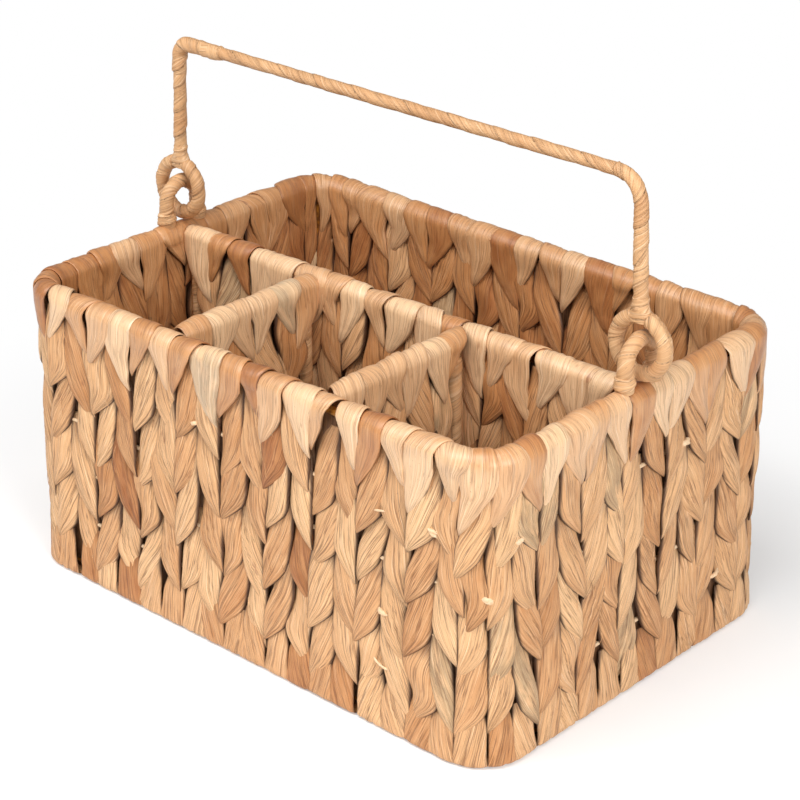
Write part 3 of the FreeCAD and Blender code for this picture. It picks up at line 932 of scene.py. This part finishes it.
def thread(piece, rng, points, radius, tone, around, rough=0.0):
    """A thin round thread through points, fined down at both ends and lumpy by a rough share."""
    points, run = rounded(points, 3 * len(points))
    tangent = unit(np.gradient(points, axis=0))
    first = unit(np.cross(tangent, (0.31, 0.42, 0.85)))
    angle = np.arange(around) * TAU / around
    shape = (len(points), around)
    share = run / run[-1]
    girth = radius * np.sqrt(np.clip(1.02 - (2 * share - 1) ** 6, 0.02, 1.0))
    girth = girth[:, None] * (1 + np.clip(rng.normal(0, 1, shape), -1.5, 1.5) * rough)
    rings = points[:, None] + girth[..., None] * spokes(first, np.cross(tangent, first), angle)
    across = np.broadcast_to(np.sin(angle) * radius / MM, shape)
    piece.add(rings, run / MM, across, rng.uniform(0, 90), tone, 0.0)


# Lines of the bail and the eyes
def upright_line(x, y, heights):
    """Points of an upright line."""
    return np.stack((np.full(len(heights), x), np.full(len(heights), y), heights), -1)


def in_bail_plane(points):
    """Points with x and z, in the plane of the bail."""
    return np.stack((points[:, 0], np.zeros(len(points)), points[:, 1]), -1)


def bail_side(side, bend):
    """Ring, leg and throat of one side of the bail, and where its bar begins, as points with x and z."""
    look = bail_settings()
    step = 0.5 * MM
    ring_radius, neck_radius = look.ring_radius, look.neck_radius
    centre = np.array((side * WALL_X, PIVOT_Z + ring_radius))
    corner = np.array((side * look.bar_length / 2, BAR_Z))
    up = unit(corner - centre)
    inward = np.array((-side * up[1], side * up[0]))
    reach = ring_radius + neck_radius
    neck_height = math.sqrt(reach ** 2 - neck_radius ** 2)
    neck_angle = math.atan2(neck_height, neck_radius)
    foot = centre + up * neck_height

    def turned(middle_point, radius, start, end, count):
        """Points of an arc, its angle counted from inward to the leg's own way up."""
        angle = np.linspace(start, end, count)[:, None]
        return middle_point + radius * (inward * np.cos(angle) + up * np.sin(angle))

    stand_off = neck_radius + look.ring_gap
    opening = math.acos((ring_radius ** 2 + reach ** 2 - stand_off ** 2) / (2 * ring_radius * reach))
    ring = turned(centre, ring_radius, neck_angle + opening - TAU, neck_angle, int(TAU * ring_radius / step))
    neck = turned(foot + inward * neck_radius, neck_radius, math.pi + neck_angle, math.pi,
                  int(neck_radius * neck_angle / step) + 2)
    throat = foot + up * np.linspace(-0.4, 0.2, 28)[:, None] * neck_height

    bar_way = np.array((-side, 0.0))
    tangent = bend * math.tan(math.acos(np.clip(up @ bar_way, -1, 1)) / 2)
    leg_top = corner - up * tangent
    count = int(np.linalg.norm(leg_top - foot) / step)
    straight = foot + (leg_top - foot) * np.linspace(0, 1, count, endpoint=False)[1:, None]
    start = math.atan2(-inward[1], -inward[0])
    if side < 0:
        start = start % TAU
    angle = np.linspace(start, TAU / 4, max(3, int(abs(TAU / 4 - start) * bend / step) + 1))
    curve = leg_top + inward * bend + bend * np.stack((np.cos(angle), np.sin(angle)), -1)
    return ring, np.vstack((neck, straight, curve)), throat, corner + bar_way * tangent


def along_wall(side, at):
    """Place along the walls of a point on one side, given from that side's middle."""
    lengths = wall_lengths()
    part = 2 * SIDES.index(side)
    return lengths[:part].sum() + lengths[part] / 2 + at


def nearest_ridge(s, height):
    """The ridge between two pairs of columns nearest to a place, and the nearest level of the cords."""
    ridges = np.array([column.at + 0.5 * column.pitch for column, _ in wall_columns() if column.lean > 0])
    levels = np.array([middle(node).z for node in sorted(frame["nodes"]) if node.startswith("wall_cord_")])
    return ridges[np.argmin(np.abs(ridges - s))], levels[np.argmin(np.abs(levels - height))]


# One operator for each group of like pieces
class WeaveWalls(bpy.types.Operator):
    """Twines the columns of the four walls and their corners"""

    bl_idname = "caddy.weave_walls"
    bl_label = "Weave Walls"

    def execute(self, context):
        pieces = {}
        for number, (column, part) in enumerate(wall_columns()):
            twine(pieces.setdefault(part, Piece()), "wall", number, column, FOOT_ROOM, RIM_Z, WALL_TONES)
        for part, piece in pieces.items():
            node = part_node(part, "weave")
            piece.finish(f"{part_name(part)}_columns", "twined_strand", "weave", BASKET, node)
        return {"FINISHED"}


class LapRim(bpy.types.Operator):
    """Bends flat strands over the rim wire"""

    bl_idname = "caddy.lap_rim"
    bl_label = "Lap Rim"

    def execute(self, context):
        pieces = {}
        for number, (column, part) in enumerate(wall_columns()):
            # The lit parts' rims are painted paler and the rest darker, as painted light and painted shade
            tones = PAINTED_LIT_RIM_TONES if part in PAINTED_LIT_RIM_PARTS else SHADED_RIM_TONES
            lap(pieces.setdefault(part, Piece()), "rim", number, column, RIM_Z, LAP_RADIUS, tones)
        for part, piece in pieces.items():
            node = part_node(part, "rim_lap")
            piece.finish(f"{part_name(part)}_rim_strands", "lapped_strand", "lap", BASKET, node)
        return {"FINISHED"}


class HemFoot(bpy.types.Operator):
    """Draws strands under the base loop all round"""

    bl_idname = "caddy.hem_foot"
    bl_label = "Hem Foot"

    def execute(self, context):
        pieces = {}
        for number, (column, part) in enumerate(wall_columns()):
            hem(pieces.setdefault(part // 2, Piece()), generator(f"hem{number}"), column)
        for side, piece in pieces.items():
            piece.finish(f"{SIDES[side]}_foot_strands", "twined_strand", "weave", BASKET)
        return {"FINISHED"}


class WeaveDividers(bpy.types.Operator):
    """Twines the dividers' columns and laps their tops"""

    bl_idname = "caddy.weave_dividers"
    bl_label = "Weave Dividers"

    def execute(self, context):
        for name, place, ends, lap_ends, half in dividers():
            axis = middle(f"{name}_lap").z
            radius = span(f"{name}_lap").z / 2
            woven, lapped = Piece(), Piece()
            for number, column in enumerate(panel_columns(place, *ends, half)):
                twine(woven, name, number, column, FLOOR_TOP, axis, DIVIDER_TONES)
            for number, column in enumerate(panel_columns(place, *lap_ends, half)):
                lap(lapped, f"{name}lap", number, column, axis, radius, DIVIDER_LAP_TONES)
            woven.finish(f"{name}_columns", "twined_strand", "weave", BASKET, f"{name}_weave")
            lapped.finish(f"{name}_top_strands", "lapped_strand", "lap", BASKET, f"{name}_lap")
        return {"FINISHED"}


class WeaveFloor(bpy.types.Operator):
    """Twines the floor's columns"""

    bl_idname = "caddy.weave_floor"
    bl_label = "Weave Floor"

    def execute(self, context):
        look = strand_settings()
        low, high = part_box("base_weave")
        half = (high.z - low.z) / 2
        columns = panel_columns(laid_panel((low.z + high.z) / 2), low.x, high.x, half - FLOOR_LEAF_DEPTH)
        piece = Piece()
        for number, column in enumerate(columns):
            room = FLOOR_CORNER_ROOM if number in (0, len(columns) - 1) else FLOOR_ROOM
            start, end = low.y + room, high.y - room
            core(piece, column, start, end, half - look.core_depth)
            rows = int((end - start - 0.3 * look.leaf_length) / look.row_pitch) + 1
            for face in (1, -1):
                for row in range(rows):
                    leaf(piece, generator(f"floor{number}{face}{row}"), column, face,
                         start + row * look.row_pitch, end, (0.0, 0.0), (0.0, -0.5), FLOOR_TONE, fine=False)
        piece.finish("floor_columns", "twined_strand", "weave", BASKET, "base_weave")
        return {"FINISHED"}


class WindPosts(bpy.types.Operator):
    """Winds strip round the divider posts"""

    bl_idname = "caddy.wind_posts"
    bl_label = "Wind Posts"

    def execute(self, context):
        for node in sorted(n for n in frame["nodes"] if "_post_wrap_" in n):
            low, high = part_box(node)
            centre = middle(node)
            points = upright_line(centre.x, centre.y, np.arange(low.z, high.z, 0.7 * MM))
            wound_piece(node.replace("wrap", "winding"), node, points, BAIL_PLANE, span(node).x / 2, "post",
                        BASKET, node)
        return {"FINISHED"}


class WindBail(bpy.types.Operator):
    """Winds strip round the bail's bar, legs and rings"""

    bl_idname = "caddy.wind_bail"
    bl_label = "Wind Bail"

    def execute(self, context):
        look = bail_settings()
        legs, ends = [], []
        for name, side, bend in (("left", -1, look.left_bend), ("right", 1, look.right_bend)):
            ring, leg, throat, bar_end = bail_side(side, bend)
            legs.append(in_bail_plane(leg))
            ends.append(bar_end)
            for part, points in (("ring", ring), ("leg", leg)):
                node = f"bail_{part}_wrap_{name}"
                wound_piece(f"bail_{name}_{part}_winding", node, in_bail_plane(points), BAIL_PLANE,
                            span(node).y / 2 - 0.1 * MM, part, BAIL, node)
            share = np.linspace(0, 1, len(throat))
            wound_piece(f"bail_{name}_neck_binding", f"throat{name}", in_bail_plane(throat), BAIL_PLANE,
                        look.neck_binding, "neck", BAIL, stretch=1.05 + smoothstep((0.8 - share) / 0.8))

        left_end, right_end = ends
        share = np.linspace(0, 1, int((right_end[0] - left_end[0]) / (0.8 * MM)))
        bar = in_bail_plane(left_end + (right_end - left_end) * share[:, None])
        wound_piece("bail_bar_winding", "bar", bar, BAIL_PLANE, span("bail_bar_wrap").z / 2, "bar", BAIL,
                    "bail_bar_wrap")

        binding = np.vstack((legs[0][-42:], bar[1:30])) - np.array((0.0, 0.0, 0.3 * MM))
        share = np.linspace(0, 1, len(binding))
        swell = 3.4 * MM + 0.55 * MM * smoothstep(np.minimum(share, 1 - share) / 0.06)
        wound_piece("bail_left_corner_binding", "binding", binding, BAIL_PLANE, swell, "corner", BAIL)
        return {"FINISHED"}


class WindEyes(bpy.types.Operator):
    """Winds strip round the eyes and lashes their feet to the rim"""

    bl_idname = "caddy.wind_eyes"
    bl_label = "Wind Eyes"

    def execute(self, context):
        for name in ("left", "right"):
            node = f"{name}_eye_wrap"
            low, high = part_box(node)
            x = middle(node).x
            radius = (high.x - low.x) / 2
            half = (high.y - low.y) / 2 - radius
            spring = high.z - radius - half
            leg = np.linspace(low.z - 2 * MM, spring, 40)
            bow = np.linspace(math.pi, 0, 60)[1:-1]
            bow = np.stack((np.full(len(bow), x), half * np.cos(bow), spring + half * np.sin(bow)), -1)
            points = np.vstack((upright_line(x, -half, leg), bow, upright_line(x, half, leg[::-1])))
            wound_piece(f"{name}_eye_winding", node, points, EYE_PLANE, radius, "eye", BASKET, node)
            heights = np.linspace(low.z - 2 * MM, low.z + 5.5 * MM, 16)
            swell = radius + 1.3 * MM * np.sin(np.linspace(0.15, math.pi - 0.15, 16)) ** 0.5
            for foot, way in (("front", -1), ("back", 1)):
                points = upright_line(x, way * half, heights)
                lashing = f"{name}_eye_{foot}_lashing"
                wound_piece(lashing, f"{node}{foot}", points, EYE_PLANE, swell, "lashing", BASKET)
        return {"FINISHED"}


class LeaveLooseEnds(bpy.types.Operator):
    """Leaves cord ends showing between leaves and a few fibres standing off"""

    bl_idname = "caddy.leave_loose_ends"
    bl_label = "Leave Loose Ends"

    def execute(self, context):
        cords = Piece()
        share = np.linspace(-0.5, 0.5, 5)
        for number, (side, at, height, length, radius) in enumerate(CORD_ENDS):
            rng = generator(f"end{number}")
            s, height = nearest_ridge(along_wall(side, at), height)
            out = WALL_HALF - 0.4 * MM - radius - (2 * share) ** 2 * 2.5 * MM
            up = height + share * length * rng.uniform(-0.7, 0.7) + rng.uniform(-2, 2) * MM
            thread(cords, rng, round_wall(s + share * length, out, up), radius, 0.7, 10, 0.18)
        cords.finish("cord_ends", "plant_cord", "cord", BASKET)

        fibres = Piece()
        share = np.linspace(0, 1, 5)
        total = float(np.sum(wall_lengths()))
        for number in range(strand_settings().fibre_count):
            rng = generator(f"fibre{number}")
            s = rng.uniform(0, total)
            height = rng.uniform(20, 128) * MM
            length = rng.uniform(5, 13) * MM
            bow = rng.uniform(0.2, 0.9) * MM
            way = rng.uniform(-0.6, 0.6)
            out = WALL_HALF - 0.9 * MM + bow * np.sin(share * 2.4)
            points = round_wall(s + way * length * share, out, height + length * share)
            thread(fibres, rng, points, 0.13 * MM, rng.uniform(0.4, 0.8), 4)
        fibres.finish("loose_fibres", "twined_strand", "weave", BASKET)
        return {"FINISHED"}


class FinishWire(bpy.types.Operator):
    """Gives the frame's wires and cords their finishes"""

    bl_idname = "caddy.finish_wire"
    bl_label = "Finish Wire"

    def execute(self, context):
        for row in frame["record"]["subparts"]:
            finish = {"wire": "lacquered_wire", "cord": "plant_cord"}.get(row["material_slot"])
            if finish:
                mesh = frame["nodes"][row["node"]].data
                mesh.materials.clear()
                mesh.materials.append(material(finish))
        return {"FINISHED"}


def lay_floor(scene, look):
    """A floor that looks white and keeps the caddy's shadow."""
    graph = Graph("white_floor")
    rays = [graph.node("ShaderNodeLightPath", output=name)
            for name in ("Is Camera Ray", "Is Glossy Ray", "Is Transmission Ray")]
    seen = graph.node("ShaderNodeMath", {"operation": "MAXIMUM"}, {0: rays[0], 1: rays[1]})
    seen = graph.node("ShaderNodeMath", {"operation": "MAXIMUM"}, {0: seen, 1: rays[2]})
    matt = graph.node("ShaderNodeBsdfDiffuse", inputs={"Color": opaque(look.backdrop)})
    glow = graph.node("ShaderNodeEmission", inputs={"Color": (1.0, 1.0, 1.0, 1.0), "Strength": 1.0})
    place = graph.node("ShaderNodeTexCoord", output="Object")
    distance = graph.node("ShaderNodeVectorMath", {"operation": "LENGTH"}, {0: place}, "Value")
    far = graph.step(distance, look.shadow_start, look.shadow_end)
    white = far * (1 - look.shadow_white) + look.shadow_white
    graph.output(graph.node("ShaderNodeMixShader", inputs={0: seen * white, 1: matt, 2: glow}))
    mesh = bpy.data.meshes.new("floor")
    mesh.from_pydata([(-9, -9, 0), (9, -9, 0), (9, 9, 0), (-9, 9, 0)], [], [(0, 1, 2, 3)])
    mesh.materials.append(graph.material)
    floor = bpy.data.objects.new("floor", mesh)
    scene.collection.objects.link(floor)


def set_light(scene, look):
    """An even sky and three soft lamps."""
    world = bpy.data.worlds.new("soft_sky")
    world.use_nodes = True
    sky = world.node_tree.nodes["Background"]
    sky.inputs["Color"].default_value = (1.0, 1.0, 1.0, 1.0)
    sky.inputs["Strength"].default_value = look.sky_strength
    scene.world = world
    for name, spot, power, size in LAMPS:
        lamp = bpy.data.lights.new(name, "AREA")
        lamp.energy = power
        lamp.size = size
        lamp_object = bpy.data.objects.new(name, lamp)
        lamp_object.location = spot
        aim = Vector(LAMP_AIM) - Vector(spot)
        lamp_object.rotation_euler = aim.to_track_quat("-Z", "Y").to_euler()
        scene.collection.objects.link(lamp_object)


def set_camera(scene, look):
    """A camera at the photograph's viewing angle."""
    lens = bpy.data.cameras.new("camera")
    lens.sensor_width = 36.0
    lens.lens = look.lens
    lens.clip_start = 50 * MM
    camera = bpy.data.objects.new("camera", lens)
    level, height = math.cos(look.elevation), math.sin(look.elevation)
    back = Vector((math.sin(look.azimuth) * level, -math.cos(look.azimuth) * level, height))
    camera.location = look.camera_place
    camera.rotation_mode = "QUATERNION"
    camera.rotation_quaternion = (-back).to_track_quat("-Z", "Y")
    scene.collection.objects.link(camera)
    scene.camera = camera


class SetStage(bpy.types.Operator):
    """Floor, soft lamps, sky and camera"""

    bl_idname = "caddy.set_stage"
    bl_label = "Set Stage"

    def execute(self, context):
        scene = context.scene
        scene.view_settings.view_transform = "Standard"
        for step in (lay_floor, set_light, set_camera):
            step(scene, stage_settings())
        return {"FINISHED"}


OPERATORS = (WeaveWalls, LapRim, HemFoot, WeaveDividers, WeaveFloor, WindPosts, WindBail, WindEyes,
             LeaveLooseEnds, FinishWire, SetStage)
SETTINGS = {
    "caddy_strand": StrandSettings,
    "caddy_bail": BailSettings,
    "caddy_colour": ColourSettings,
    "caddy_stage": StageSettings,
}


class CaddyPanel(bpy.types.Panel):
    """Sizes, colours and steps of the caddy's looks"""

    bl_idname = "VIEW3D_PT_caddy"
    bl_label = "Woven Caddy"
    bl_space_type = "VIEW_3D"
    bl_region_type = "UI"
    bl_category = "Caddy"

    def draw(self, context):
        for key in SETTINGS:
            group = getattr(context.scene, key)
            box = self.layout.box()
            for name in group.bl_rna.properties.keys():
                if name not in ("rna_type", "name"):
                    box.prop(group, name)
        for operator in OPERATORS:
            self.layout.operator(operator.bl_idname)


CLASSES = (*SETTINGS.values(), *OPERATORS, CaddyPanel)


def register():
    """Makes the settings, the operators and the panel known to Blender."""
    for cls in CLASSES:
        bpy.utils.register_class(cls)
    for key, group in SETTINGS.items():
        setattr(bpy.types.Scene, key, PointerProperty(type=group))


def unregister():
    """Takes away what register added."""
    for key in SETTINGS:
        delattr(bpy.types.Scene, key)
    for cls in reversed(CLASSES):
        bpy.utils.unregister_class(cls)


def main():
    """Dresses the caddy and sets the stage."""
    register()
    for operator in OPERATORS:
        module, name = operator.bl_idname.split(".")
        getattr(getattr(bpy.ops, module), name)()


if __name__ == "__main__":
    main()
